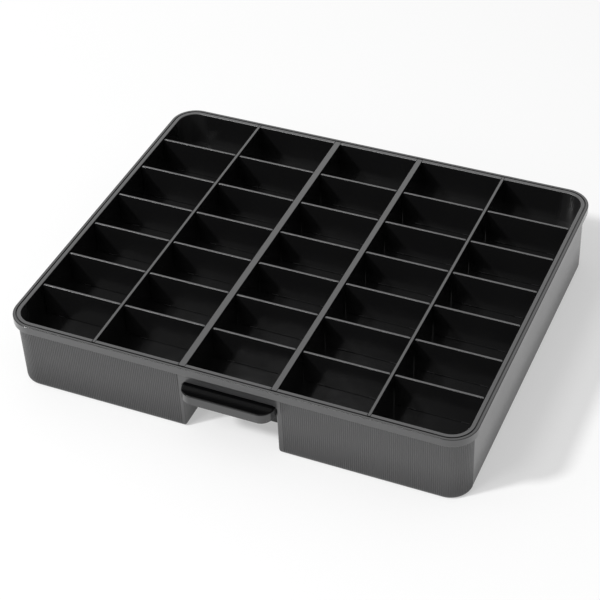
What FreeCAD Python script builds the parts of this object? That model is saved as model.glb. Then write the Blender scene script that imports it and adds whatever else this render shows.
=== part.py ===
"""Compartment drawer with lift-out dividers, as a parametric FreeCAD document.

Frame: millimetres, +Z up, +Y to the back, the pull tab at the front.  The origin is
the middle of the bottom of the whole drawer's bounding box, so the tray's own centre
lies half of the tab's reach behind it (TRAY_CENTRE_Y).
"""
import FreeCAD, Part
import math
import os
import Sketcher

os.makedirs("parts", exist_ok=True)
doc = FreeCAD.newDocument("compartment_drawer")

# --------------------------------------------------------------------------------------
# Driving dimensions
# --------------------------------------------------------------------------------------
DIMENSIONS = [
    # rim and walls of the tray
    ("rim_half_width", 160.5, "half the rim's size along X"),
    ("rim_half_depth", 133.5, "half the rim's size along Y"),
    ("rim_top", 53.7, "top of the rim above the bottom"),
    ("rim_width", 5.3, "flat top of the rim, outer edge to inner edge"),
    ("rim_corner_radius", 17.9, "outer corners of the rim in plan"),
    ("lip_height", 5.9, "height of the rim's outer face"),
    ("wall_thickness", 2.3, "wall around the compartments"),
    ("wall_draft_inset", 0.2, "how far the wall draws in from lip to bottom"),
    ("rim_edge_radius", 0.5, "rounded edges of the rim"),
    ("groove_offset", 1.85, "rim's outer edge to the groove"),
    ("groove_width", 1.0, "width of the groove in the rim"),
    ("groove_depth", 0.9, "depth of the groove in the rim"),
    # floor and skirt
    ("compartment_depth", 25.3, "rim's top down to the compartments' floor"),
    ("floor_thickness", 2.0, "floor plate"),
    ("skirt_thickness", 3.6, "wall below the floor"),
    ("bottom_edge_radius", 2.0, "rounded outer bottom edge"),
    ("stiffener_thickness", 1.5, "ribs under the floor"),
    ("stiffener_height", 5.0, "how far these ribs hang below the floor"),
    ("stiffener_line_x", 63.5, "ribs along Y, from the middle"),
    ("stiffener_line_y", 45.0, "ribs along X, from the middle"),
    # finger notch and recess at the front
    ("notch_half_width", 32.6, "half the notch along X"),
    ("notch_gap", 0.8, "top edge of the notch above the tab"),
    ("notch_corner_radius", 3.0, "all four corners of the notch"),
    ("notch_edge_radius", 1.0, "rounded front edge all round the notch"),
    ("recess_depth", 27.5, "finger recess, from the rim's front to its back wall"),
    ("recess_wall", 3.6, "walls of the finger recess"),
    ("socket_depth", 13.5, "tab's socket, from the rim's front to its back wall"),
    ("socket_wall", 1.9, "walls of the socket"),
    ("shelf_thickness", 2.4, "shelf that carries the tab's tail"),
    ("shelf_window_x", 20.0, "windows in the shelf, from the middle"),
    ("shelf_window_width", 6.6, "window along X"),
    ("shelf_window_depth", 3.6, "window along Y"),
    ("holding_rib_width", 1.2, "ribs that hold the tail down"),
    ("holding_rib_spacing", 22.0, "outer holding ribs, from the middle one"),
    ("holding_gap", 0.1, "these ribs above the tail"),
    # pull tab
    ("tab_side_gap", 0.6, "each side of the tab inside the notch"),
    ("tab_reach", 7.0, "how far the tab stands out in front of the rim"),
    ("tail_rise", 4.6, "underside of the tab's tail above the compartments' floor"),
    ("tail_thickness", 5.6, "tail of the tab"),
    ("grip_thickness", 8.5, "grip of the tab, its top level with the tail's"),
    ("tab_corner_radius", 9.0, "front corners of the tab in plan"),
    ("tab_lower_edge_radius", 2.5, "lower front edge"),
    ("tab_upper_edge_radius", 1.0, "upper front edge"),
    ("barb_drop", 1.6, "barbs under the tail"),
    # dividers
    ("row_pitch", 36.0, "cross dividers, row to row"),
    ("long_outer_x", 94.8, "outer long dividers, from the middle"),
    ("long_inner_x", 31.8, "inner long dividers, from the middle"),
    ("long_outer_thickness", 1.8, "outer long dividers"),
    ("long_left_thickness", 4.4, "inner long divider on the left"),
    ("long_right_thickness", 3.8, "inner long divider on the right"),
    ("ear_height", 4.0, "hook at each end of a long divider"),
    ("ear_reach", 2.3, "how far that hook lies over the wall"),
    ("ear_end_clearance", 0.65, "its slot in the rim beyond its end"),
    ("cross_thickness", 1.5, "cross dividers"),
    ("cross_drop", 0.5, "their top edge below the rim"),
    ("cross_corner_radius", 1.5, "their upper corners"),
    ("divider_edge_radius", 0.3, "rounded top edges of every divider"),
    ("cross_foot_edge_radius", 0.65, "rounded lower edges of a cross divider"),
    ("foot_drop", 1.6, "feet under every divider, into the floor"),
    ("cross_foot_place", 18.0, "feet of a cross divider, from its middle"),
    ("cross_foot_length", 5.0, "each foot along X"),
    ("long_foot_place", 72.0, "outer feet of a long divider, from its middle"),
    ("long_foot_length", 8.0, "each foot along Y"),
    # clearances
    ("divider_clearance", 0.3, "around every divider that lifts out"),
    ("tab_clearance", 0.3, "around the tail of the tab"),
]

sheet = doc.addObject("Spreadsheet::Sheet", "Params")
VALUES = {}
for row, (alias, number, note) in enumerate(DIMENSIONS, start=1):
    sheet.set("A%d" % row, alias)
    sheet.set("B%d" % row, str(number))
    sheet.set("C%d" % row, note)
    sheet.setAlias("B%d" % row, alias)
    VALUES[alias] = number
doc.recompute()

ROW_COUNT = 6
POSITION_TOLERANCE = 1e-4


# --------------------------------------------------------------------------------------
# Helpers
# --------------------------------------------------------------------------------------
def evaluate(expression):
    """Number of an expression of the sheet's aliases."""
    result = sheet.evalExpression(expression)
    return float(getattr(result, "Value", result))


def new_body(label, x=None, y=None, z=None):
    """PartDesign body whose placement is bound to the sheet."""
    body = doc.addObject("PartDesign::Body", label)
    body.Label = label
    for axis, expression in (("x", x), ("y", y), ("z", z)):
        if expression:
            body.setExpression("Placement.Base.%s" % axis, expression)
    return body


def new_sketch(body, name, role="XY_Plane", offset=None):
    """Sketch on one of the body's origin planes, moved along its normal if asked."""
    sketch = body.newObject("Sketcher::SketchObject", name)
    plane = next(item for item in body.Origin.OriginFeatures if item.Role == role)
    sketch.AttachmentSupport = [(plane, "")]
    sketch.MapMode = "FlatFace"
    if offset:
        sketch.setExpression("AttachmentOffset.Base.z", offset)
    return sketch


def bind_point(sketch, piece, point, x, y):
    """Tie a point of the sketch to two expressions, measured from its origin."""
    for kind, axis, expression in (("DistanceX", -2, x), ("DistanceY", -1, y)):
        value = evaluate(expression)
        if abs(value) < POSITION_TOLERANCE:
            sketch.addConstraint(Sketcher.Constraint("PointOnObject", piece, point, axis))
            continue
        ends = (-1, 1, piece, point)
        if value < 0:
            ends = (piece, point, -1, 1)
            expression = "-(%s)" % expression
        index = sketch.addConstraint(Sketcher.Constraint(kind, *ends, abs(value)))
        sketch.setExpression("Constraints[%d]" % index, expression)


def arc_between(start, end, centre):
    """Arc under half a turn, and True where it runs backwards (Part's run one way)."""
    first = start - centre
    last = end - centre
    backwards = first.x * last.y - first.y * last.x < 0
    if backwards:
        first, last = last, first
    first_angle = math.atan2(first.y, first.x)
    last_angle = math.atan2(last.y, last.x)
    if last_angle < first_angle:
        last_angle += 2 * math.pi
    circle = Part.Circle(centre, FreeCAD.Vector(0, 0, 1), first.Length)
    return Part.ArcOfCircle(circle, first_angle, last_angle), backwards


def add_outline(sketch, corners, arcs=None):
    """Closed outline through corners given as pairs of expressions.

    arcs maps the number of a side to its centre's x and y and its radius; the other
    sides are straight.
    """
    arcs = arcs or {}
    points = [FreeCAD.Vector(evaluate(x), evaluate(y), 0) for x, y in corners]
    following = points[1:] + points[:1]
    pieces = []
    for number, (start, end) in enumerate(zip(points, following)):
        shape, backwards = Part.LineSegment(start, end), False
        if number in arcs:
            centre_x, centre_y, _ = arcs[number]
            centre = FreeCAD.Vector(evaluate(centre_x), evaluate(centre_y), 0)
            shape, backwards = arc_between(start, end, centre)
        first, last = (2, 1) if backwards else (1, 2)
        pieces.append((sketch.addGeometry(shape, False), first, last))
    for number, (piece, first, last) in enumerate(pieces):
        next_piece, next_first, _ = pieces[(number + 1) % len(pieces)]
        joint = Sketcher.Constraint("Coincident", piece, last, next_piece, next_first)
        sketch.addConstraint(joint)
    for number, (piece, first, last) in enumerate(pieces):
        bind_point(sketch, piece, first, *corners[number])
        if number in arcs:
            radius = arcs[number][2]
            index = sketch.addConstraint(
                Sketcher.Constraint("Radius", piece, evaluate(radius)))
            sketch.setExpression("Constraints[%d]" % index, radius)


def add_rectangle(sketch, left, right, low, high):
    """Rectangle whose four sides are expressions."""
    add_outline(sketch, [(left, low), (right, low), (right, high), (left, high)])


def add_rounded_rectangle(sketch, half_x, half_y, radius):
    """Rectangle about the origin with four equal round corners."""
    right, top, r = "(%s)" % half_x, "(%s)" % half_y, "(%s)" % radius
    left, bottom = "-%s" % right, "-%s" % top
    inner_right, inner_top = "%s - %s" % (right, r), "%s - %s" % (top, r)
    inner_left, inner_bottom = "%s + %s" % (left, r), "%s + %s" % (bottom, r)
    corners = [
        (inner_left, bottom), (inner_right, bottom),
        (right, inner_bottom), (right, inner_top),
        (inner_right, top), (inner_left, top),
        (left, inner_top), (left, inner_bottom),
    ]
    arcs = {
        1: (inner_right, inner_bottom, r),
        3: (inner_right, inner_top, r),
        5: (inner_left, inner_top, r),
        7: (inner_left, inner_bottom, r),
    }
    add_outline(sketch, corners, arcs)


def pad(body, name, sketch, length, both_ways=False, downwards=False):
    """Pad of a sketch; its length is an expression."""
    feature = body.newObject("PartDesign::Pad", name)
    feature.Profile = sketch
    feature.setExpression("Length", length)
    if both_ways:
        feature.SideType = "Symmetric"
    feature.Reversed = downwards
    doc.recompute()
    return feature


def pocket(body, name, sketch, length=None):
    """Pocket of a sketch, right through where no length is given."""
    before = body.Shape.Volume
    feature = body.newObject("PartDesign::Pocket", name)
    feature.Profile = sketch
    if length:
        feature.setExpression("Length", length)
    else:
        feature.Type = "ThroughAll"
    doc.recompute()
    if body.Shape.Volume > before - POSITION_TOLERANCE:
        raise RuntimeError("%s of %s cuts nothing" % (name, body.Label))
    return feature


def round_edges(body, name, radius, wanted):
    """Fillet of every edge of the body's tip whose box of corners is wanted."""
    base = body.Tip
    names = []
    for number, edge in enumerate(base.Shape.Edges, start=1):
        if wanted(edge.BoundBox):
            names.append("Edge%d" % number)
    if not names:
        raise RuntimeError("%s of %s finds no edge" % (name, body.Label))
    feature = body.newObject("PartDesign::Fillet", name)
    feature.Base = (base, names)
    feature.setExpression("Radius", radius)
    doc.recompute()
    return feature


def repeat_rows(body, name, feature, sketch):
    """The same feature again at each row of cross dividers."""
    pattern = body.newObject("PartDesign::LinearPattern", name)
    pattern.Originals = [feature]
    pattern.Direction = (sketch, ["V_Axis"])
    pattern.setExpression("Length", "%d * Params.row_pitch" % (ROW_COUNT - 1))
    pattern.Occurrences = ROW_COUNT
    body.Tip = pattern
    doc.recompute()
    return pattern


def near(value, target):
    """Whether two coordinates are the same."""
    return abs(value - target) < POSITION_TOLERANCE


# --------------------------------------------------------------------------------------
# Lines that several pieces share, as expressions
# --------------------------------------------------------------------------------------
INNER_X = "(Params.rim_half_width - Params.rim_width)"
INNER_Y = "(Params.rim_half_depth - Params.rim_width)"
INNER_RADIUS = "(Params.rim_corner_radius - Params.rim_width)"
OUTER_X = "(%s + Params.wall_thickness)" % INNER_X
OUTER_Y = "(%s + Params.wall_thickness)" % INNER_Y
OUTER_RADIUS = "(%s + Params.wall_thickness)" % INNER_RADIUS
LIP_UNDERSIDE = "(Params.rim_top - Params.lip_height)"
FLOOR_TOP = "(Params.rim_top - Params.compartment_depth)"
FLOOR_UNDERSIDE = "(%s - Params.floor_thickness)" % FLOOR_TOP
FIRST_ROW_Y = "(-%g * Params.row_pitch)" % ((ROW_COUNT - 1) / 2)
LONG_FOOT_PLACES = ("-Params.long_foot_place", "0", "Params.long_foot_place")
RECESS_BACK_Y = "(Params.recess_depth - Params.rim_half_depth)"
SOCKET_BACK_Y = "(Params.socket_depth - Params.rim_half_depth)"
TAIL_BOTTOM = "(%s + Params.tail_rise)" % FLOOR_TOP
TAB_TOP = "(%s + Params.tail_thickness)" % TAIL_BOTTOM
GRIP_BOTTOM = "(%s - Params.grip_thickness)" % TAB_TOP
NOTCH_TOP = "(%s + Params.notch_gap)" % TAB_TOP
SOCKET_BLOCK_TOP = "(%s + Params.socket_wall)" % NOTCH_TOP
SOCKET_BLOCK_BACK = "(%s + Params.socket_wall)" % SOCKET_BACK_Y
EAR_END_Y = "(%s + Params.ear_reach)" % INNER_Y
EAR_SLOT_END_Y = "(%s + Params.ear_end_clearance)" % EAR_END_Y
TRAY_CENTRE_Y = "(Params.tab_reach / 2)"

LONG_DIVIDERS = [
    ("long_divider_1", "-Params.long_outer_x", "Params.long_outer_thickness"),
    ("long_divider_2", "-Params.long_inner_x", "Params.long_left_thickness"),
    ("long_divider_3", "Params.long_inner_x", "Params.long_right_thickness"),
    ("long_divider_4", "Params.long_outer_x", "Params.long_outer_thickness"),
]


def column_sides():
    """Left and right face of each column of compartments, as expressions."""
    left = "-%s" % INNER_X
    columns = []
    for _, centre, thickness in LONG_DIVIDERS:
        columns.append((left, "%s - %s / 2" % (centre, thickness)))
        left = "%s + %s / 2" % (centre, thickness)
    columns.append((left, INNER_X))
    return columns


def add_foot(sketch, centre_x, centre_y, length_x, length_y, clearance="0"):
    """Foot of a divider, or with a clearance the slot it stands in."""
    half_x = "(%s / 2 + %s)" % (length_x, clearance)
    half_y = "(%s / 2 + %s)" % (length_y, clearance)
    add_rectangle(sketch, "%s - %s" % (centre_x, half_x), "%s + %s" % (centre_x, half_x),
                  "%s - %s" % (centre_y, half_y), "%s + %s" % (centre_y, half_y))


# --------------------------------------------------------------------------------------
# Tray: one moulding
# --------------------------------------------------------------------------------------
def build_tray_shell(body):
    """Walls, rim, floor plate and the hollow below it."""
    low = new_sketch(body, "wall_outline_low")
    add_rounded_rectangle(low, "%s - Params.wall_draft_inset" % OUTER_X,
                          "%s - Params.wall_draft_inset" % OUTER_Y,
                          "%s - Params.wall_draft_inset" % OUTER_RADIUS)
    high = new_sketch(body, "wall_outline_high", offset=LIP_UNDERSIDE)
    add_rounded_rectangle(high, OUTER_X, OUTER_Y, OUTER_RADIUS)
    wall = body.newObject("PartDesign::AdditiveLoft", "drafted_wall")
    wall.Profile = low
    wall.Sections = [high]
    wall.Ruled = True
    doc.recompute()
    round_edges(body, "bottom_edge", "Params.bottom_edge_radius",
                lambda box: near(box.ZMax, 0))

    outline = new_sketch(body, "rim_outline", offset=LIP_UNDERSIDE)
    add_rounded_rectangle(outline, "Params.rim_half_width", "Params.rim_half_depth",
                          "Params.rim_corner_radius")
    pad(body, "rim", outline, "Params.lip_height")

    inner = new_sketch(body, "cavity_outline", offset="Params.rim_top")
    add_rounded_rectangle(inner, INNER_X, INNER_Y, INNER_RADIUS)
    pocket(body, "cavity", inner, "Params.compartment_depth")
    rim_top = evaluate("Params.rim_top")
    lip_underside = evaluate(LIP_UNDERSIDE)
    wall_x = evaluate(OUTER_X)
    round_edges(body, "rim_edges", "Params.rim_edge_radius",
                lambda box: near(box.ZMin, rim_top)
                or (near(box.ZMin, lip_underside) and near(box.ZMax, lip_underside)
                    and max(abs(box.XMin), abs(box.XMax)) > wall_x - POSITION_TOLERANCE
                    and not on_wall(box)))

    groove = new_sketch(body, "groove_outline", offset="Params.rim_top")
    for inset in ("Params.groove_offset", "(Params.groove_offset + Params.groove_width)"):
        add_rounded_rectangle(groove, "Params.rim_half_width - %s" % inset,
                              "Params.rim_half_depth - %s" % inset,
                              "Params.rim_corner_radius - %s" % inset)
    pocket(body, "rim_groove", groove, "Params.groove_depth")

    hollow = new_sketch(body, "hollow_outline", offset=FLOOR_UNDERSIDE)
    add_rounded_rectangle(hollow, "%s - Params.skirt_thickness" % OUTER_X,
                          "%s - Params.skirt_thickness" % OUTER_Y,
                          "%s - Params.skirt_thickness" % OUTER_RADIUS)
    pocket(body, "hollow_below_floor", hollow)


def on_wall(box):
    """Whether an edge at the lip's underside belongs to the wall, not to the lip."""
    across = max(abs(box.XMin), abs(box.XMax)) < evaluate(OUTER_X) + POSITION_TOLERANCE
    along = max(abs(box.YMin), abs(box.YMax)) < evaluate(OUTER_Y) + POSITION_TOLERANCE
    return across and along


def build_stiffeners(body):
    """Four ribs under the floor."""
    reach_x = "(%s - Params.wall_thickness)" % OUTER_X
    reach_y = "(%s - Params.wall_thickness)" % OUTER_Y
    half = "Params.stiffener_thickness / 2"
    across = new_sketch(body, "stiffeners_across_plan", offset=FLOOR_UNDERSIDE)
    for sign in ("-", ""):
        line = "%sParams.stiffener_line_y" % sign
        add_rectangle(across, "-" + reach_x, reach_x,
                      "%s - %s" % (line, half), "%s + %s" % (line, half))
    pad(body, "stiffeners_across", across, "Params.stiffener_height", downwards=True)
    along = new_sketch(body, "stiffeners_along_plan", offset=FLOOR_UNDERSIDE)
    for sign in ("-", ""):
        line = "%sParams.stiffener_line_x" % sign
        add_rectangle(along, "%s - %s" % (line, half), "%s + %s" % (line, half),
                      "-" + reach_y, reach_y)
    pad(body, "stiffeners_along", along, "Params.stiffener_height", downwards=True)


def build_tab_socket(body):
    """Finger recess under the floor and, above it, the socket of the pull tab."""
    block_x = "(Params.notch_half_width + Params.recess_wall)"
    block = new_sketch(body, "recess_block_plan")
    add_rectangle(block, "-" + block_x, block_x, "-%s" % INNER_Y,
                  "%s + Params.recess_wall" % RECESS_BACK_Y)
    pad(body, "recess_block", block, "%s - Params.floor_thickness / 2" % FLOOR_TOP)

    socket_x = "(Params.notch_half_width + Params.socket_wall)"
    roof = new_sketch(body, "socket_block_plan", offset=FLOOR_UNDERSIDE)
    add_rectangle(roof, "-" + socket_x, socket_x,
                  "-(%s + Params.wall_thickness / 2)" % INNER_Y, SOCKET_BLOCK_BACK)
    pad(body, "socket_block", roof, "%s - %s" % (SOCKET_BLOCK_TOP, FLOOR_UNDERSIDE))

    front = "Params.rim_half_depth"
    side, radius, top = "Params.notch_half_width", "Params.notch_corner_radius", NOTCH_TOP
    below = "-Params.bottom_edge_radius"
    notch = new_sketch(body, "notch_outline", "XZ_Plane", front)
    flare_x = "(%s + %s)" % (side, radius)
    corner_x = "(%s - %s)" % (side, radius)
    corner_z = "(%s - %s)" % (top, radius)
    corners = [
        ("-" + flare_x, below), (flare_x, below), (flare_x, "0"), (side, radius),
        (side, corner_z), (corner_x, top), ("-" + corner_x, top),
        ("-" + side, corner_z), ("-" + side, radius), ("-" + flare_x, "0"),
    ]
    arcs = {
        2: (flare_x, radius, radius),
        4: (corner_x, corner_z, radius),
        6: ("-" + corner_x, corner_z, radius),
        8: ("-" + flare_x, radius, radius),
    }
    add_outline(notch, corners, arcs)
    pocket(body, "notch", notch, "%s - %s" % (front, INNER_Y))

    recess = new_sketch(body, "recess_outline", "XZ_Plane", front)
    corners = [
        ("-" + flare_x, below), (flare_x, below), (flare_x, "0"), (side, radius),
        (side, FLOOR_UNDERSIDE), ("-" + side, FLOOR_UNDERSIDE),
        ("-" + side, radius), ("-" + flare_x, "0"),
    ]
    arcs = {2: (flare_x, radius, radius), 6: ("-" + flare_x, radius, radius)}
    add_outline(recess, corners, arcs)
    pocket(body, "finger_recess", recess, "Params.recess_depth")

    depth = "Params.socket_depth"
    shelf_underside = "(%s - Params.shelf_thickness)" % TAIL_BOTTOM
    under = new_sketch(body, "under_shelf_outline", "XZ_Plane", front)
    add_rectangle(under, "-" + side, side, "%s / 2" % FLOOR_UNDERSIDE, shelf_underside)
    pocket(body, "under_shelf", under, depth)
    socket = new_sketch(body, "socket_outline", "XZ_Plane", front)
    corners = [
        ("-" + side, TAIL_BOTTOM), (side, TAIL_BOTTOM),
        (side, corner_z), (corner_x, top), ("-" + corner_x, top), ("-" + side, corner_z),
    ]
    arcs = {2: (corner_x, corner_z, radius), 4: ("-" + corner_x, corner_z, radius)}
    add_outline(socket, corners, arcs)
    pocket(body, "tab_socket", socket, depth)
    wall_front = -evaluate("%s + Params.wall_thickness / 2" % INNER_Y)
    notch_side = evaluate("Params.notch_half_width")
    upright_top = evaluate(corner_z)
    round_edges(body, "notch_edges", "Params.notch_edge_radius",
                lambda box: box.YMax < wall_front and near(box.ZMax, upright_top)
                and near(max(abs(box.XMin), abs(box.XMax)), notch_side))

    ribs = new_sketch(body, "holding_ribs_plan",
                      offset="%s + Params.holding_gap" % TAB_TOP)
    half = "Params.holding_rib_width / 2"
    for place in ("-Params.holding_rib_spacing", "0", "Params.holding_rib_spacing"):
        add_rectangle(ribs, "%s - %s" % (place, half), "%s + %s" % (place, half),
                      "-" + INNER_Y, "%s + Params.socket_wall / 2" % SOCKET_BACK_Y)
    pad(body, "holding_ribs", ribs,
        "Params.notch_gap + Params.socket_wall / 2 - Params.holding_gap")

    windows = new_sketch(body, "shelf_windows_plan", offset=TAIL_BOTTOM)
    for sign in ("-", ""):
        add_window(windows, "%sParams.shelf_window_x" % sign, "0")
    pocket(body, "shelf_windows", windows, "Params.shelf_thickness")


def add_window(sketch, centre_x, clearance):
    """Window of the shelf, or with a clearance the barb that drops into it."""
    half_x = "(Params.shelf_window_width / 2 - %s)" % clearance
    half_y = "(Params.shelf_window_depth / 2 - %s)" % clearance
    centre_y = "(%s - %s) / 2" % (SOCKET_BACK_Y, INNER_Y)
    add_rectangle(sketch, "%s - %s" % (centre_x, half_x), "%s + %s" % (centre_x, half_x),
                  "%s - %s" % (centre_y, half_y), "%s + %s" % (centre_y, half_y))


def build_divider_seats(body):
    """Slots in the rim for the long dividers, slots in the floor for every foot."""
    slots = new_sketch(body, "ear_slots_plan", offset="Params.rim_top")
    for _, centre, thickness in LONG_DIVIDERS:
        half = "(%s / 2 + Params.divider_clearance)" % thickness
        left, right = "%s - %s" % (centre, half), "%s + %s" % (centre, half)
        start = "(%s - Params.wall_thickness)" % INNER_Y
        add_rectangle(slots, left, right, "-" + EAR_SLOT_END_Y, "-" + start)
        add_rectangle(slots, left, right, start, EAR_SLOT_END_Y)
    pocket(body, "ear_slots", slots, "Params.ear_height + Params.divider_clearance")

    cross_slots = new_sketch(body, "cross_foot_slots_plan", offset=FLOOR_TOP)
    for left, right in column_sides():
        for sign in ("-", "+"):
            centre_x = "(((%s) + (%s)) / 2 %s Params.cross_foot_place)" % (left, right, sign)
            add_foot(cross_slots, centre_x, FIRST_ROW_Y, "Params.cross_foot_length",
                     "Params.cross_thickness", "Params.divider_clearance")
    first = pocket(body, "cross_foot_slots", cross_slots, "Params.floor_thickness")
    repeat_rows(body, "cross_foot_slot_rows", first, cross_slots)

    long_slots = new_sketch(body, "long_foot_slots_plan", offset=FLOOR_TOP)
    for _, centre, thickness in LONG_DIVIDERS:
        for place in LONG_FOOT_PLACES:
            add_foot(long_slots, centre, place, thickness, "Params.long_foot_length",
                     "Params.divider_clearance")
    pocket(body, "long_foot_slots", long_slots, "Params.floor_thickness")


def build_tray():
    """Tray with its rim, floor, finger recess and seats."""
    body = new_body("drawer_tray", y=TRAY_CENTRE_Y)
    build_tray_shell(body)
    build_stiffeners(body)
    build_tab_socket(body)
    build_divider_seats(body)
    return body


# --------------------------------------------------------------------------------------
# Pull tab
# --------------------------------------------------------------------------------------
def build_pull_tab():
    """Grip in front of the notch, with a tail that snaps into the socket."""
    body = new_body("pull_handle", y=TRAY_CENTRE_Y)
    side = "(Params.notch_half_width - Params.tab_side_gap)"
    front = "-(Params.rim_half_depth + Params.tab_reach)"
    grip_back = "-(%s + Params.tab_clearance)" % INNER_Y
    grip = new_sketch(body, "grip_plan", offset=GRIP_BOTTOM)
    add_rectangle(grip, "-" + side, side, front, grip_back)
    pad(body, "grip", grip, "Params.grip_thickness")
    front_y = evaluate(front)
    round_edges(body, "grip_corners", "Params.tab_corner_radius",
                lambda box: near(box.YMax, front_y) and box.ZLength > box.XLength)

    tail = new_sketch(body, "tail_plan", offset=TAIL_BOTTOM)
    add_rectangle(tail, "-" + side, side, "%s - Params.wall_thickness" % grip_back,
                  "%s - Params.tab_clearance" % SOCKET_BACK_Y)
    pad(body, "tail", tail, "Params.tail_thickness")

    bottom = evaluate(GRIP_BOTTOM)
    top = evaluate(TAB_TOP)
    back_y = evaluate(grip_back)
    round_edges(body, "lower_edge", "Params.tab_lower_edge_radius",
                lambda box: near(box.ZMax, bottom) and not near(box.YMin, back_y))
    round_edges(body, "upper_edge", "Params.tab_upper_edge_radius",
                lambda box: near(box.ZMin, top) and near(box.YMin, front_y))

    barbs = new_sketch(body, "barbs_plan", offset=TAIL_BOTTOM)
    for sign in ("-", ""):
        add_window(barbs, "%sParams.shelf_window_x" % sign, "Params.tab_clearance")
    pad(body, "barbs", barbs, "Params.barb_drop", downwards=True)
    return body


# --------------------------------------------------------------------------------------
# Dividers
# --------------------------------------------------------------------------------------
def build_long_divider(label, centre, thickness, over_socket):
    """Divider from front to back, hooked into the rim and standing in the floor."""
    body = new_body(label, x=centre, y=TRAY_CENTRE_Y, z=FLOOR_TOP)
    half = "(%s / 2)" % thickness
    length = "(%s - Params.divider_clearance)" % INNER_Y
    plate = new_sketch(body, "plate_plan")
    add_rectangle(plate, "-" + half, half, "-" + length, length)
    pad(body, "plate", plate, "Params.compartment_depth")
    ears = new_sketch(body, "ears_plan",
                      offset="Params.compartment_depth - Params.ear_height")
    add_rectangle(ears, "-" + half, half, "-" + EAR_END_Y, EAR_END_Y)
    pad(body, "ears", ears, "Params.ear_height")
    top = evaluate("Params.compartment_depth")
    round_edges(body, "top_edges", "Params.divider_edge_radius",
                lambda box: near(box.ZMin, top) and box.YLength > box.XLength)
    if over_socket:
        relief = new_sketch(body, "socket_relief_plan",
                            offset="%s - %s + Params.divider_clearance"
                            % (SOCKET_BLOCK_TOP, FLOOR_TOP))
        add_rectangle(relief, "-" + thickness, thickness, "-" + INNER_Y,
                      "%s + Params.divider_clearance" % SOCKET_BLOCK_BACK)
        pocket(body, "socket_relief", relief)
    feet = new_sketch(body, "feet_plan")
    for place in LONG_FOOT_PLACES:
        add_foot(feet, "0", place, thickness, "Params.long_foot_length")
    pad(body, "feet", feet, "Params.foot_drop", downwards=True)
    return body


def build_cross_divider(row, column, left, right):
    """Divider across one column, standing on the floor with two feet in it."""
    row_y = "%g * Params.row_pitch" % (row - (ROW_COUNT - 1) / 2)
    body = new_body("cross_divider_r%d_c%d" % (row + 1, column + 1),
                    x="((%s) + (%s)) / 2" % (left, right),
                    y="%s + %s" % (TRAY_CENTRE_Y, row_y), z=FLOOR_TOP)
    half = "(((%s) - (%s)) / 2 - Params.divider_clearance)" % (right, left)
    height = "(Params.compartment_depth - Params.cross_drop)"
    plate = new_sketch(body, "plate_outline", "XZ_Plane")
    add_rectangle(plate, "-" + half, half, "0", height)
    pad(body, "plate", plate, "Params.cross_thickness", both_ways=True)
    top = evaluate(height)
    round_edges(body, "upper_corners", "Params.cross_corner_radius",
                lambda box: near(box.ZMin, top) and box.YLength > box.XLength)
    round_edges(body, "top_edges", "Params.divider_edge_radius",
                lambda box: near(box.ZMin, top) and box.XLength > box.YLength)
    round_edges(body, "lower_edges", "Params.cross_foot_edge_radius",
                lambda box: near(box.ZMax, 0) and box.XLength > box.YLength)
    feet = new_sketch(body, "feet_plan")
    for place in ("-Params.cross_foot_place", "Params.cross_foot_place"):
        add_foot(feet, place, "0", "Params.cross_foot_length", "Params.cross_thickness")
    pad(body, "feet", feet, "Params.foot_drop", downwards=True)
    return body


# --------------------------------------------------------------------------------------
# Assembly and hand-over
# --------------------------------------------------------------------------------------
def build_all():
    """Every piece of the drawer."""
    bodies = [build_tray(), build_pull_tab()]
    for label, centre, thickness in LONG_DIVIDERS:
        over_socket = "long_inner_x" in centre
        bodies.append(build_long_divider(label, centre, thickness, over_socket))
    for row in range(ROW_COUNT):
        for column, (left, right) in enumerate(column_sides()):
            bodies.append(build_cross_divider(row, column, left, right))
    doc.recompute()
    return bodies


def check_document(bodies):
    """Stop at the first object in error and at the first bad shape."""
    for item in doc.Objects:
        if "Invalid" in item.State or "Error" in item.State:
            raise RuntimeError("%s of the document is in error" % item.Name)
    for body in bodies:
        shape = body.Shape
        if shape.isNull() or not shape.isValid() or len(shape.Solids) != 1:
            raise RuntimeError("%s is not one valid solid" % body.Label)


pieces = build_all()
check_document(pieces)
for piece in pieces:
    piece.Shape.exportStep("parts/%s.step" % piece.Label)
    size = piece.Shape.BoundBox
    print("%-22s %8.2f %8.2f %8.2f" % (piece.Label, size.XLength, size.YLength, size.ZLength))
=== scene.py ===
"""Looks of a compartment drawer: one ribbed tray, a pull handle and lift-out dividers.

Lengths are metres.  +Z is up, +Y is the back of the drawer and the handle is in front.
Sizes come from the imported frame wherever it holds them.
"""

import logging
import math
from dataclasses import dataclass
from enum import Enum

import bpy
import numpy as np
from mathutils import Matrix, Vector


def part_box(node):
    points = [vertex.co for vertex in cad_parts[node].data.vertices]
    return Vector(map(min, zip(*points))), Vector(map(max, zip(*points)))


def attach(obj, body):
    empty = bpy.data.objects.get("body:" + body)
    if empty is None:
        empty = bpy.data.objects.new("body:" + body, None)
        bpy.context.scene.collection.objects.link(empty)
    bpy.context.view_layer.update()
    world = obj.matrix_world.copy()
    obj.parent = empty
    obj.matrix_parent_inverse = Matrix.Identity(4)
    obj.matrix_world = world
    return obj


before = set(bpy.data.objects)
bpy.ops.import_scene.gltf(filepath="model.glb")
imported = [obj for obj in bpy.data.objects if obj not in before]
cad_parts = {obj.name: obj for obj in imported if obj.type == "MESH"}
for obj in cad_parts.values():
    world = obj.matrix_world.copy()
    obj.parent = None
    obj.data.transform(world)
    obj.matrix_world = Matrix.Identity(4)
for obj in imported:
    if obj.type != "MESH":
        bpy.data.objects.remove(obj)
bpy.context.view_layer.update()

LOG = logging.getLogger("drawer")
MM = 0.001

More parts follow.
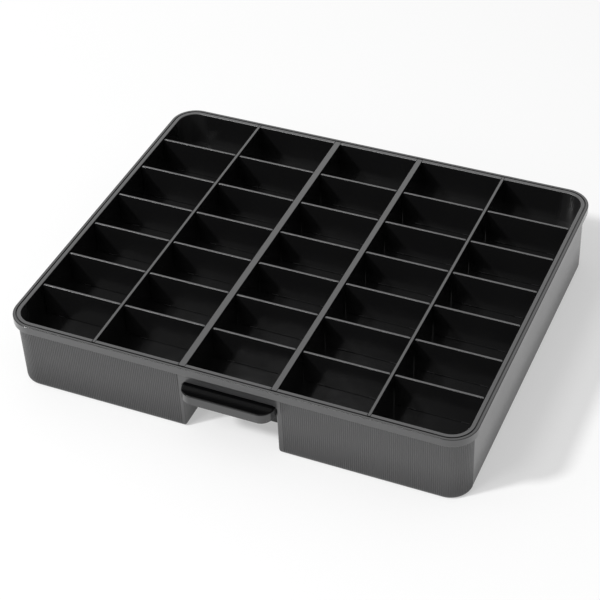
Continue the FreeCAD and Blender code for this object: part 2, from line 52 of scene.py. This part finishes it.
# Z of a surface's normal over which a finish that follows the facing fades in or out; the
# lighter copy paints light on faces that turn up or sideways, the darker one paints shade on
# the rest.
UPWARD_BAND = (0.35, 0.8)
SIDE_UPPER_BAND = (0.2, 0.75)
SIDE_LOWER_BAND = (-0.35, -0.1)

Colour = tuple[float, float, float]
Socket = bpy.types.NodeSocket
Value = float | Socket


# --------------------------------------------------------------------------------------
# Node graphs
# --------------------------------------------------------------------------------------
class NodeGraph:
    """Builds the nodes of one material, world or floor, a few at a time."""

    def __init__(self, tree: bpy.types.NodeTree) -> None:
        """Empty the tree and keep it.

        Args:
            tree: The node tree to fill.
        """
        self.tree = tree
        self.tree.nodes.clear()

    def add(self, kind: str, **inputs: Value | Colour) -> bpy.types.Node:
        """Add a node and set or link its inputs.

        Args:
            kind: The node's type, without the leading ShaderNode.
            **inputs: Input names, with underscores for spaces, and their values.

        Returns:
            The new node.
        """
        node = self.tree.nodes.new("ShaderNode" + kind)
        for name, value in inputs.items():
            self.feed(node.inputs[name.replace("_", " ")], value)
        return node

    def feed(self, socket: Socket, value: Value | Colour) -> None:
        """Link a socket to another one, or set its number.

        Args:
            socket: The input to fill.
            value: An output socket, a number or a colour of three.
        """
        if isinstance(value, bpy.types.NodeSocket):
            self.tree.links.new(value, socket)
        elif isinstance(value, tuple) and socket.type == "RGBA":
            socket.default_value = (*value, 1.0)
        else:
            socket.default_value = value

    def math(self, operation: str, first: Value, second: Value = 0.0,
             third: Value = 0.0) -> Socket:
        """One Math node.

        Args:
            operation: Blender's name of the operation.
            first: First operand.
            second: Second operand, where there is one.
            third: Third operand, where there is one.

        Returns:
            The node's output.
        """
        node = self.tree.nodes.new("ShaderNodeMath")
        node.operation = operation
        for socket, value in zip(node.inputs, (first, second, third)):
            self.feed(socket, value)
        return node.outputs[0]

    def ramp(self, value: Value, start: float, end: float, low: float = 0.0,
             high: float = 1.0) -> Socket:
        """Smooth step of a value.

        Args:
            value: What is stepped.
            start: Value at which the step begins.
            end: Value at which it ends.
            low: Result before the step.
            high: Result after it.

        Returns:
            The stepped value.
        """
        node = self.tree.nodes.new("ShaderNodeMapRange")
        node.interpolation_type = "SMOOTHSTEP"
        for name, number in (("Value", value), ("From Min", start), ("From Max", end),
                             ("To Min", low), ("To Max", high)):
            self.feed(node.inputs[name], number)
        return node.outputs["Result"]

    def mix(self, share: Value, first: Value | Colour, second: Value | Colour) -> Socket:
        """Blend of two colours.

        Args:
            share: Share of the second colour, from 0 to 1.
            first: Colour at 0.
            second: Colour at 1.

        Returns:
            The blended colour.
        """
        node = self.tree.nodes.new("ShaderNodeMix")
        node.data_type = "RGBA"
        colours = [s for s in node.inputs if s.type == "RGBA"]
        self.feed(node.inputs["Factor"], share)
        self.feed(colours[0], first)
        self.feed(colours[1], second)
        return next(s for s in node.outputs if s.type == "RGBA")

    def noise(self, place: Socket, size: float, detail: float = 2.0,
              roughness: float = 0.5) -> Socket:
        """Noise pattern.

        Args:
            place: Where the pattern is read.
            size: Size of one blotch, in metres.
            detail: Number of finer layers.
            roughness: Strength of the finer layers.

        Returns:
            The pattern's value, about 0.5 on average.
        """
        node = self.add("TexNoise", Vector=place, Scale=1.0 / size, Detail=detail,
                        Roughness=roughness)
        return node.outputs["Fac"]


# --------------------------------------------------------------------------------------
# Finishes
# --------------------------------------------------------------------------------------
@dataclass(frozen=True)
class Surface:
    """Colour and gloss of one zone of a moulding."""

    colour: Colour
    roughness: float
    polish: float
    grain_depth: float = 0.018 * MM


class Zone(Enum):
    """Where the second surface of a moulding lies: in the tray's cavity, where it paints
    shade, or on faces that turn up or sideways, where it paints light.
    """

    NOWHERE = "nowhere"
    CAVITY = "cavity"
    UPWARD = "upward"
    SIDEWAYS = "sideways"


@dataclass(frozen=True)
class Moulding:
    """Moulded plastic of one or two zones, with the grain that its mould left. The second
    zone is a copy of the finish that paints shade in the tray's cavity and light on faces
    that turn up or sideways.

    The colour drifts slowly across the piece, the gloss drifts with it, fine grain dulls
    the highlights, and a scatter of tiny pits breaks them up.
    """

    name: str
    main: Surface
    other: Surface
    zone: Zone
    grain_size: float = 0.55 * MM
    wave_size: float = 14 * MM
    wave_depth: float = 0.05 * MM
    drift_size: float = 42 * MM
    colour_drift: float = 0.16
    gloss_drift: float = 0.06
    grain_contrast: float = 0.25
    pit_spacing: float = 2.6 * MM
    pit_radius: float = 0.11 * MM
    pit_core: float = 0.4
    pit_paleness: float = 0.5
    pit_dulling: float = 0.12
    refraction: float = 1.5
    polish_roughness: float = 0.22
    # Painted shade near the floor: the coat thins from full at the first height down to the
    # second share at the bottom.
    low_shade_height: float = 30 * MM
    low_shade_polish: float = 0.18
    corner_dulling: float = 0.3

    def zone_mask(self, graph: NodeGraph, place: Socket) -> Value:
        """Share of the second surface at each point: painted shade in the tray's cavity,
        painted light on faces that turn up or sideways.

        Args:
            graph: The material's graph.
            place: Object coordinates.

        Returns:
            0 on the main surface, 1 on the other one.
        """
        if self.zone is Zone.NOWHERE:
            return 0.0
        # Painted shade in the tray's cavity, in its groove and on the rim.
        if self.zone is Zone.CAVITY:
            return Cavity.from_frame().mask(graph, place)
        normal = graph.add("NewGeometry").outputs["Normal"]
        upward = graph.add("SeparateXYZ", Vector=normal).outputs["Z"]
        # Painted light: faces that turn up get the lighter copy.
        if self.zone is Zone.UPWARD:
            return graph.ramp(upward, *UPWARD_BAND)
        # Painted light on upright faces; faces that turn up or down keep the darker copy,
        # painted shade.
        not_up = graph.ramp(upward, *SIDE_UPPER_BAND, 1.0, 0.0)
        return graph.math("MINIMUM", not_up, graph.ramp(upward, *SIDE_LOWER_BAND))

    def build(self) -> bpy.types.Material:
        """Make the material.

        Returns:
            The finished material.
        """
        material = bpy.data.materials.new(self.name)
        material.use_nodes = True
        graph = NodeGraph(material.node_tree)
        place = graph.add("TexCoord").outputs["Object"]
        share = self.zone_mask(graph, place)
        drift = graph.math("SUBTRACT", graph.noise(place, self.drift_size, 3.0), 0.5)
        grain = graph.noise(place, self.grain_size, 3.0, 0.6)
        wave = graph.noise(place, self.wave_size, 1.0)

        cell = graph.add("TexVoronoi", Vector=place, Scale=1.0 / self.pit_spacing)
        pit_edge = self.pit_radius / self.pit_spacing
        pit = graph.ramp(cell.outputs["Distance"], pit_edge * self.pit_core, pit_edge,
                         1.0, 0.0)

        # Painted light and shade: the zone mask swaps in the second surface's colour.
        tint = graph.mix(share, self.main.colour, self.other.colour)
        level = graph.math("MULTIPLY_ADD", drift, 2.0 * self.colour_drift, 1.0)
        level = graph.math("MULTIPLY_ADD", pit, self.pit_paleness, level)
        level = graph.math("MULTIPLY_ADD", graph.math("SUBTRACT", grain, 0.5),
                           self.grain_contrast, level)
        colour = graph.add("VectorMath", Vector=tint)
        colour.operation = "SCALE"
        graph.feed(colour.inputs["Scale"], level)

        span = self.other.roughness - self.main.roughness
        rough = graph.math("MULTIPLY_ADD", share, span, self.main.roughness)
        rough = graph.math("MULTIPLY_ADD", drift, 2.0 * self.gloss_drift, rough)
        rough = graph.math("MULTIPLY_ADD", pit, self.pit_dulling, rough)
        if self.zone is Zone.CAVITY:
            corners = Cavity.from_frame().corners(graph, place)
            dulled = graph.math("MULTIPLY", corners, share)
            rough = graph.math("MULTIPLY_ADD", dulled, self.corner_dulling, rough)

        deepest = graph.math("MULTIPLY_ADD", share,
                             self.other.grain_depth - self.main.grain_depth,
                             self.main.grain_depth)
        height = graph.math("MULTIPLY", graph.math("SUBTRACT", grain, pit), deepest)
        height = graph.math("MULTIPLY_ADD", wave, self.wave_depth, height)
        bump = graph.add("Bump", Height=height, Distance=1.0, Strength=1.0)

        polish = graph.math("MULTIPLY_ADD", share, self.other.polish - self.main.polish,
                            self.main.polish)
        # Painted shade near the floor: the coat thins towards the bottom, so the lower walls
        # darken.
        height_above = graph.add("SeparateXYZ", Vector=place).outputs["Z"]
        low_shade = graph.ramp(height_above, 0.0, self.low_shade_height, self.low_shade_polish, 1.0)
        polish = graph.math("MULTIPLY", polish, low_shade)
        shader = graph.add("BsdfPrincipled", Base_Color=colour.outputs["Vector"],
                           Roughness=rough, Normal=bump.outputs["Normal"],
                           IOR=self.refraction, Coat_Weight=polish,
                           Coat_Roughness=self.polish_roughness,
                           Coat_Normal=bump.outputs["Normal"])
        graph.add("OutputMaterial", Surface=shader.outputs["BSDF"])
        return material


# Tray's outer finish; on the dividers' tops it is the lighter copy, painted light.
SATIN = Surface(colour=(0.028, 0.028, 0.029), roughness=0.38, polish=1.0)
RIBBED = Surface(colour=(0.024, 0.024, 0.025), roughness=0.38, polish=0.72)
# Darker copy of the finish: painted shade in the tray's cavity and on the dividers' sides.
SHADED_BLACK = Surface(colour=(0.0070, 0.0070, 0.0072), roughness=0.10, polish=0.0,
                grain_depth=0.003 * MM)
# Darker copy on the handle's top and underside: painted shade under the lip and a painted
# dark line along the lower edge.
SHADED_JET = Surface(colour=(0.0022, 0.0022, 0.0024), roughness=0.2, polish=0.0)
# Lighter copy on the handle's upright faces: painted light.
LIT_FACED = Surface(colour=(0.040, 0.040, 0.041), roughness=0.34, polish=1.0)

# Painted shade in the cavity, in the rim's groove, on the rim's flat top and along its outer
# edge.
TRAY_FINISH = Moulding("tray_moulding", main=SATIN, other=SHADED_BLACK, zone=Zone.CAVITY,
                       refraction=1.58)
RIB_FINISH = Moulding("ribbed_moulding", main=RIBBED, other=RIBBED, zone=Zone.NOWHERE,
                      wave_depth=0.0)
# Painted light on the dividers' tops; their other faces keep the darker, shaded copy.
DIVIDER_FINISH = Moulding("divider_moulding", main=SHADED_BLACK, other=SATIN, zone=Zone.UPWARD)
# Painted light on the handle's upright faces; painted shade on its top and underside.
HANDLE_FINISH = Moulding("handle_moulding", main=SHADED_JET, other=LIT_FACED, zone=Zone.SIDEWAYS,
                         refraction=1.2)


# --------------------------------------------------------------------------------------
# Tray
# --------------------------------------------------------------------------------------
@dataclass(frozen=True)
class Cavity:
    """Room inside the tray's walls, as a rounded rectangle in plan, and the rim's groove,
    which together mark where shade is painted on the tray.

    rim_reach and groove_reach are the distances from the room's corner centres to the rim's
    outer edge and to the groove's middle.  The shares say how much painted shade the flat
    top gets inside and outside the groove; the rounded outer edge, or brink, gets the
    darkest, a painted dark line where its highlight would fall.
    """

    centre_y: float
    half_x: float
    half_y: float
    radius: float
    floor: float
    top: float
    rim_reach: float
    groove_reach: float
    margin: float = 0.35 * MM
    blend: float = 0.25 * MM
    floor_blend: float = 0.4 * MM
    groove_half: float = 0.5 * MM
    groove_depth: float = 0.9 * MM
    groove_blend: float = 0.05 * MM
    edge_blend: float = 0.1 * MM
    flat_margin: float = 0.03 * MM
    inner_shade_share: float = 0.12
    outer_shade_share: float = 0.3
    brink_width: float = 0.7 * MM
    brink_depth: float = 0.35 * MM
    corner_blend: float = 9 * MM

    @classmethod
    def from_frame(cls) -> "Cavity":
        """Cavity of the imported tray.

        Returns:
            Its place and size.
        """
        walls = Walls()
        low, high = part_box("cross_divider_r1_c1")
        return cls(
            centre_y=walls.centre_y,
            half_x=walls.rim_half_x - walls.rim_width,
            half_y=walls.rim_half_y - walls.rim_width,
            radius=walls.rim_radius - walls.rim_width,
            floor=low.z + cls.floor_blend,
            top=walls.top,
            rim_reach=walls.rim_radius,
            groove_reach=walls.rim_radius - walls.groove_inset,
        )

    def overshoot(self, graph: NodeGraph, split: bpy.types.Node) -> tuple[Socket, Socket]:
        """How far each point lies beyond the room's corner centres.

        Args:
            graph: The material's graph.
            split: Object coordinates, split into X, Y and Z.

        Returns:
            The lengths along X and Y, less than 0 on the near side of the centres.
        """
        across = graph.math("ABSOLUTE", split.outputs["X"])
        along = graph.math("ABSOLUTE",
                           graph.math("SUBTRACT", split.outputs["Y"], self.centre_y))
        return (graph.math("SUBTRACT", across, self.half_x - self.radius),
                graph.math("SUBTRACT", along, self.half_y - self.radius))

    def corners(self, graph: NodeGraph, place: Socket) -> Socket:
        """1 in the rounded upright corners of the cavity, 0 elsewhere.

        Args:
            graph: The material's graph.
            place: Object coordinates.

        Returns:
            The mask.
        """
        split = graph.add("SeparateXYZ", Vector=place)
        over_x, over_y = self.overshoot(graph, split)
        bent = graph.ramp(graph.math("MINIMUM", over_x, over_y), -self.corner_blend, 0.0)
        return graph.math("MULTIPLY", bent, self.below_rim(graph, split))

    def below_rim(self, graph: NodeGraph, split: bpy.types.Node) -> Socket:
        """1 below the rounded edge at the rim's top, 0 above it.

        Args:
            graph: The material's graph.
            split: Object coordinates, split into X, Y and Z.

        Returns:
            The mask.
        """
        high = self.top - self.margin
        return graph.ramp(split.outputs["Z"], high, high + self.blend, 1.0, 0.0)

    def mask(self, graph: NodeGraph, place: Socket) -> Socket:
        """Painted shade: 1 on the cavity's walls and floor, in the groove and on the rim's
        rounded outer edge, less on its flat top.

        The distance to a rounded rectangle of half sizes a, b and corner radius r is the
        length of (max(|x|-a+r, 0), max(|y|-b+r, 0)) less r.

        Args:
            graph: The material's graph.
            place: Object coordinates.

        Returns:
            The mask.
        """
        split = graph.add("SeparateXYZ", Vector=place)
        over_x, over_y = (graph.math("MAXIMUM", over, 0.0)
                          for over in self.overshoot(graph, split))
        square = graph.math("MULTIPLY_ADD", over_x, over_x,
                            graph.math("MULTIPLY", over_y, over_y))
        reach = graph.math("SQRT", square)
        # Painted shade over the cavity's walls and floor.
        wall = self.radius + self.margin
        inside = graph.ramp(reach, wall, wall + self.blend, 1.0, 0.0)
        above = graph.ramp(split.outputs["Z"], self.floor, self.floor + self.floor_blend)
        below = self.below_rim(graph, split)
        room = graph.math("MULTIPLY", inside, graph.math("MULTIPLY", above, below))

        # Painted shade in the rim's groove.
        aside = graph.math("ABSOLUTE", graph.math("SUBTRACT", reach, self.groove_reach))
        bank = self.groove_half + self.groove_blend
        ring = graph.ramp(aside, bank, bank + self.groove_blend, 1.0, 0.0)
        flush = self.top - self.edge_blend
        sunk = graph.ramp(split.outputs["Z"], flush - self.edge_blend, flush, 1.0, 0.0)
        bed = flush - self.groove_depth
        held = graph.ramp(split.outputs["Z"], bed - self.edge_blend, bed)
        groove = graph.math("MULTIPLY", ring, graph.math("MULTIPLY", sunk, held))

        # Painted shade on the rim's flat top, and a painted dark line on its rounded outer
        # edge.
        outer_bank = self.groove_reach + self.groove_half
        beyond = graph.ramp(reach, outer_bank - self.groove_blend, outer_bank,
                            self.inner_shade_share, self.outer_shade_share)
        flat = graph.ramp(split.outputs["Z"], flush, self.top - self.flat_margin)
        strips = graph.math("MULTIPLY", beyond, flat)
        brink = self.rim_reach - self.brink_width
        shoulder = self.top - self.brink_depth
        outermost = graph.ramp(reach, brink, brink + self.edge_blend)
        uppermost = graph.ramp(split.outputs["Z"], shoulder, shoulder + self.edge_blend)
        rounded = graph.math("MULTIPLY", outermost, uppermost)
        edge = graph.math("MAXIMUM", strips, rounded)
        return graph.math("MAXIMUM", room, graph.math("MAXIMUM", groove, edge))


class Side(Enum):
    """Left or right half of the front."""

    LEFT = -1
    RIGHT = 1


@dataclass
class Walls:
    """Outer walls of the tray, which the rib skins lie on."""

    rim_width: float = 5.3 * MM
    rim_radius: float = 17.9 * MM
    groove_inset: float = 2.35 * MM
    lip_height: float = 5.9 * MM
    wall: float = 2.3 * MM
    draft: float = 0.2 * MM
    bottom_radius: float = 2.0 * MM

    def __post_init__(self) -> None:
        """Read the rim's place and size from the frame."""
        low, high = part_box("drawer_tray")
        self.rim_half_x = (high.x - low.x) / 2
        self.rim_half_y = (high.y - low.y) / 2
        self.centre_y = (high.y + low.y) / 2
        self.top = high.z
        self.lip_underside = high.z - self.lip_height
        overhang = self.rim_width - self.wall
        self.half_x = self.rim_half_x - overhang
        self.half_y = self.rim_half_y - overhang
        self.radius = self.rim_radius - overhang

    def inset(self, height: np.ndarray) -> np.ndarray:
        """How far the wall has drawn in at a height.

        It grows evenly from the lip down, and below the bottom edge's radius r it adds
        r - sqrt(r^2 - (r - z)^2).

        Args:
            height: Heights above the bottom.

        Returns:
            The insets.
        """
        even = self.draft * (1.0 - height / self.lip_underside)
        depth = np.clip(self.bottom_radius - height, 0.0, self.bottom_radius)
        return even + self.bottom_radius - np.sqrt(self.bottom_radius**2 - depth**2)


@dataclass
class RibSkin:
    """Fine upright ribs on one half of the front, carried round its corner."""

    side: Side
    walls: Walls
    first_x: float = 35.6 * MM
    pitch: float = 1.37 * MM
    height: float = 0.38 * MM
    lift: float = 0.02 * MM
    root: float = 0.30 * MM
    fade_top: float = 3.2 * MM
    fade_low: float = 0.35 * MM
    steps_per_rib: int = 8
    fillet_rows: int = 4

    def outline(self, along: np.ndarray) -> tuple[np.ndarray, np.ndarray]:
        """Points and outward normals of the wall's outline.

        The outline runs straight along the front to the corner's centre and then turns
        a quarter circle: the angle there is the length past that point over the radius.

        Args:
            along: Lengths from the first rib, outwards.

        Returns:
            Points in plan at the lip's underside, and unit normals, both n by 2.
        """
        walls = self.walls
        corner_x = walls.half_x - walls.radius
        straight = corner_x - self.first_x
        angle = np.clip(along - straight, 0.0, None) / walls.radius
        x = self.first_x + np.minimum(along, straight)
        normal = np.stack((np.sin(angle), -np.cos(angle)), axis=1)
        centre_y = walls.centre_y - walls.half_y + walls.radius
        points = np.stack((x, np.full_like(x, centre_y)), axis=1) + walls.radius * normal
        return points, normal

    def build(self) -> bpy.types.Object:
        """Closed skin of the ribs.

        Point(u, z) = outline(u) + normal(u) * (lift + height * bump(u) * fade(z)
        - inset(z)), where bump is the square root of a raised cosine over each pitch, so
        that the ribs are full and the valleys narrow; fade falls smoothly to 0 over the
        bottom edge.  The back is the same grid without the bumps, sunk into the wall.

        Returns:
            The piece.
        """
        walls = self.walls
        corner = walls.radius * math.pi / 2
        length = walls.half_x - walls.radius - self.first_x + corner
        ribs = round(length / self.pitch)
        along = np.linspace(0.0, length, ribs * self.steps_per_rib + 1)
        points, normal = self.outline(along)
        turn = np.linspace(0.0, 1.0, self.fillet_rows + 1)
        low_part = self.fade_low + (self.fade_top - self.fade_low) * turn
        top_rows = [walls.lip_underside - self.fade_low, walls.lip_underside]
        heights = np.concatenate((low_part, top_rows))
        bump = np.sqrt(0.5 - 0.5 * np.cos(2 * np.pi * ribs * along / length))
        step = np.clip((heights - self.fade_low) / (self.fade_top - self.fade_low), 0.0, 1.0)
        fade = step * step * (3.0 - 2.0 * step)
        inset = walls.inset(heights)
        out = self.lift + self.height * bump[None, :] * fade[:, None] - inset[:, None]
        back = np.broadcast_to(-self.root - inset[:, None], out.shape)
        return self.closed_skin(points, normal, heights, out, back)

    def closed_skin(self, points: np.ndarray, normal: np.ndarray, heights: np.ndarray,
                    out: np.ndarray, back: np.ndarray) -> bpy.types.Object:
        """Mesh of a front sheet and a back sheet, joined all round.

        Args:
            points: Outline in plan, n by 2.
            normal: Outward normals, n by 2.
            heights: Heights of the rows, from the bottom up.
            out: Offsets of the front sheet, rows by n.
            back: Offsets of the back sheet, rows by n.

        Returns:
            The piece.
        """
        rows, columns = out.shape
        sheets = []
        for offset in (out, back):
            plan = points[None, :, :] + normal[None, :, :] * offset[:, :, None]
            sheet = np.empty((rows, columns, 3))
            sheet[:, :, 0] = plan[:, :, 0] * self.side.value
            sheet[:, :, 1] = plan[:, :, 1]
            sheet[:, :, 2] = heights[:, None]
            sheets.append(sheet.reshape(-1, 3))
        grid = np.arange(rows * columns).reshape(rows, columns)
        front = quads(grid)
        rear = quads(grid + rows * columns)[:, ::-1]
        rim = np.concatenate((grid[0], grid[1:, -1], grid[-1, -2::-1], grid[-2:0:-1, 0]))
        following = np.roll(rim, -1)
        shift = rows * columns
        band = np.stack((rim, rim + shift, following + shift, following), axis=1)
        faces = np.concatenate((front, rear, band))
        if self.side is Side.LEFT:
            faces = faces[:, ::-1]
        name = "front_ribs_%s" % self.side.name.lower()
        return mesh_piece(name, np.concatenate(sheets), faces, flat=len(band))


def quads(grid: np.ndarray) -> np.ndarray:
    """Faces of a grid of vertex numbers.

    Args:
        grid: Vertex numbers, rows by columns.

    Returns:
        Four numbers a face.
    """
    corners = (grid[:-1, :-1], grid[:-1, 1:], grid[1:, 1:], grid[1:, :-1])
    return np.stack(corners, axis=-1).reshape(-1, 4)


def mesh_piece(name: str, points: np.ndarray, faces: np.ndarray,
               flat: int = 0) -> bpy.types.Object:
    """Smooth mesh object at the origin.

    Args:
        name: Name of the piece.
        points: Vertices, n by 3.
        faces: Vertex numbers, m by 4.
        flat: How many of the last faces are shaded flat.

    Returns:
        The object, in the scene.
    """
    mesh = bpy.data.meshes.new(name)
    mesh.vertices.add(len(points))
    mesh.vertices.foreach_set("co", points.astype(np.float32).ravel())
    mesh.loops.add(faces.size)
    mesh.loops.foreach_set("vertex_index", faces.astype(np.int32).ravel())
    mesh.polygons.add(len(faces))
    starts = np.arange(0, faces.size, faces.shape[1], dtype=np.int32)
    mesh.polygons.foreach_set("loop_start", starts)
    mesh.polygons.foreach_set("use_smooth", np.arange(len(faces)) < len(faces) - flat)
    mesh.update(calc_edges=True)
    mesh.validate()
    piece = bpy.data.objects.new(name, mesh)
    bpy.context.scene.collection.objects.link(piece)
    return piece


@dataclass
class Tray:
    """The tray's own moulding, with its ribbed front."""

    node: str = "drawer_tray"
    body: str = "tray"
    slot: str = "tray_plastic"

    def build(self) -> None:
        """Dress the tray and lay the rib skins on it."""
        dress(self.node, TRAY_FINISH.build())
        walls = Walls()
        finish = RIB_FINISH.build()
        for side in Side:
            skin = RibSkin(side, walls).build()
            skin.data.materials.append(finish)
            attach(skin, self.body)
            LOG.info("%s: %d faces", skin.name, len(skin.data.polygons))


@dataclass
class PullHandle:
    """Handle in the front notch."""

    node: str = "pull_handle"

    def build(self) -> None:
        """Dress the handle."""
        dress(self.node, HANDLE_FINISH.build())


@dataclass
class DividerSet:
    """All the dividers, long and cross."""

    prefixes: tuple[str, str] = ("long_divider", "cross_divider")

    def build(self) -> None:
        """Dress every divider with one material."""
        finish = DIVIDER_FINISH.build()
        for name in sorted(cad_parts):
            if name.startswith(self.prefixes):
                dress(name, finish)


def dress(node: str, material: bpy.types.Material) -> None:
    """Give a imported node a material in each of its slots.

    Args:
        node: Name of the node.
        material: The material.
    """
    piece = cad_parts[node]
    for holder in piece.material_slots:
        holder.material = material
    LOG.info("%s: %s", node, material.name)


# --------------------------------------------------------------------------------------
# Studio
# --------------------------------------------------------------------------------------
def seen_rays(graph: NodeGraph, reflected: float = 1.0) -> Socket:
    """1 for rays that show a surface, 0 for rays that only light.

    Args:
        graph: Graph of a material or of the world.
        reflected: The value for rays that show a surface in a reflection.

    Returns:
        The share.
    """
    rays = graph.add("LightPath").outputs
    direct = graph.math("MAXIMUM", rays["Is Camera Ray"], rays["Is Transmission Ray"])
    glossy = graph.math("MULTIPLY", rays["Is Glossy Ray"], reflected)
    return graph.math("MAXIMUM", direct, glossy)


@dataclass(frozen=True)
class Lamp:
    """Round soft lamp that looks at the origin from the front left and above."""

    name: str
    turn: float
    rise: float
    distance: float
    size: float
    power: float

    def build(self) -> None:
        """Add the lamp; turn is measured from the front to the left, in degrees."""
        lamp = bpy.data.lights.new(self.name, "AREA")
        lamp.shape = "DISK"
        lamp.size = self.size
        lamp.energy = self.power
        holder = bpy.data.objects.new(self.name, lamp)
        turn, rise = math.radians(self.turn), math.radians(self.rise)
        flat = math.cos(rise)
        towards = np.array((-math.sin(turn) * flat, -math.cos(turn) * flat,
                            math.sin(rise)))
        right = np.cross((0.0, 0.0, 1.0), towards)
        right /= np.linalg.norm(right)
        up = np.cross(towards, right)
        matrix = np.eye(4)
        matrix[:3, 0], matrix[:3, 1], matrix[:3, 2] = right, up, towards
        matrix[:3, 3] = towards * self.distance
        holder.matrix_world = Matrix(matrix.tolist())
        bpy.context.scene.collection.objects.link(holder)


@dataclass
class Studio:
    """Plain floor, soft light and camera."""

    floor_half: float = 6.0
    floor_white: float = 0.93
    floor_mottle: float = 0.99
    mottle_size: float = 0.3
    floor_shade: float = 0.6
    floor_mirror: float = 0.9
    sky: float = 0.46
    lamps: tuple[Lamp, ...] = (
        Lamp("key", turn=47.0, rise=41.5, distance=5.0, size=0.6, power=174.0),
        Lamp("fill", turn=29.0, rise=51.0, distance=5.0, size=1.4, power=50.0),
    )
    lens: float = 103.905
    sensor: float = 36.0
    camera_place: tuple[float, float, float] = (0.379784, -0.829295, 0.782246)
    camera_right: tuple[float, float, float] = (0.918320, 0.394168, -0.036339)
    camera_down: tuple[float, float, float] = (0.228003, -0.601762, -0.765439)
    camera_forward: tuple[float, float, float] = (-0.323579, 0.694633, -0.642481)

    def build(self) -> None:
        """Set up the floor, the light and the camera."""
        self.build_floor()
        self.build_sky()
        for lamp in self.lamps:
            lamp.build()
        self.build_camera()
        bpy.context.scene.view_settings.view_transform = "Standard"

    def build_floor(self) -> None:
        """Flat pale floor at the drawer's bottom, with a faint mottle.

        To the camera and in reflections it is part white backdrop and part lit paper, so
        that its shadows stay light.
        """
        half = self.floor_half
        points = np.array([(-half, -half, 0), (half, -half, 0), (half, half, 0),
                           (-half, half, 0)], dtype=float)
        floor = mesh_piece("floor", points, np.array([[0, 1, 2, 3]]))
        material = bpy.data.materials.new("floor_paper")
        material.use_nodes = True
        graph = NodeGraph(material.node_tree)
        place = graph.add("TexCoord").outputs["Object"]
        white = self.floor_white
        tone = graph.mix(graph.noise(place, self.mottle_size), (white,) * 3,
                         (white * self.floor_mottle,) * 3)
        paper = graph.add("BsdfDiffuse", Color=tone)
        backdrop = graph.add("Emission", Color=(1.0, 1.0, 1.0), Strength=1.0)
        share = graph.math("MULTIPLY", seen_rays(graph, self.floor_mirror),
                           1.0 - self.floor_shade)
        blend = graph.add("MixShader", Fac=share)
        graph.feed(blend.inputs[1], paper.outputs["BSDF"])
        graph.feed(blend.inputs[2], backdrop.outputs["Emission"])
        graph.add("OutputMaterial", Surface=blend.outputs["Shader"])
        floor.data.materials.append(material)

    def build_sky(self) -> None:
        """White surroundings, weaker for diffuse light than for what is seen."""
        world = bpy.data.worlds.new("studio")
        bpy.context.scene.world = world
        world.use_nodes = True
        graph = NodeGraph(world.node_tree)
        strength = graph.math("MULTIPLY_ADD", seen_rays(graph), 1.0 - self.sky, self.sky)
        shader = graph.add("Background", Color=(1.0, 1.0, 1.0), Strength=strength)
        graph.add("OutputWorld", Surface=shader.outputs["Background"])

    def build_camera(self) -> None:
        """Camera in front and to the right, looking down."""
        data = bpy.data.cameras.new("camera")
        data.lens = self.lens
        data.sensor_width = self.sensor
        camera = bpy.data.objects.new("camera", data)
        matrix = np.eye(4)
        matrix[:3, 0] = self.camera_right
        matrix[:3, 1] = -np.array(self.camera_down)
        matrix[:3, 2] = -np.array(self.camera_forward)
        matrix[:3, 3] = self.camera_place
        camera.matrix_world = Matrix(matrix.tolist())
        bpy.context.scene.collection.objects.link(camera)
        bpy.context.scene.camera = camera


def write_sizes() -> None:
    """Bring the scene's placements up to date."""
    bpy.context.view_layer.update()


def main() -> None:
    """Build and dress every piece, then the studio."""
    logging.basicConfig(level=logging.INFO, format="%(name)s %(message)s")
    for part in (Tray(), PullHandle(), DividerSet(), Studio()):
        part.build()
        LOG.info("%s done", type(part).__name__)
    bpy.context.view_layer.update()
    write_sizes()


if __name__ == "__main__":
    main()
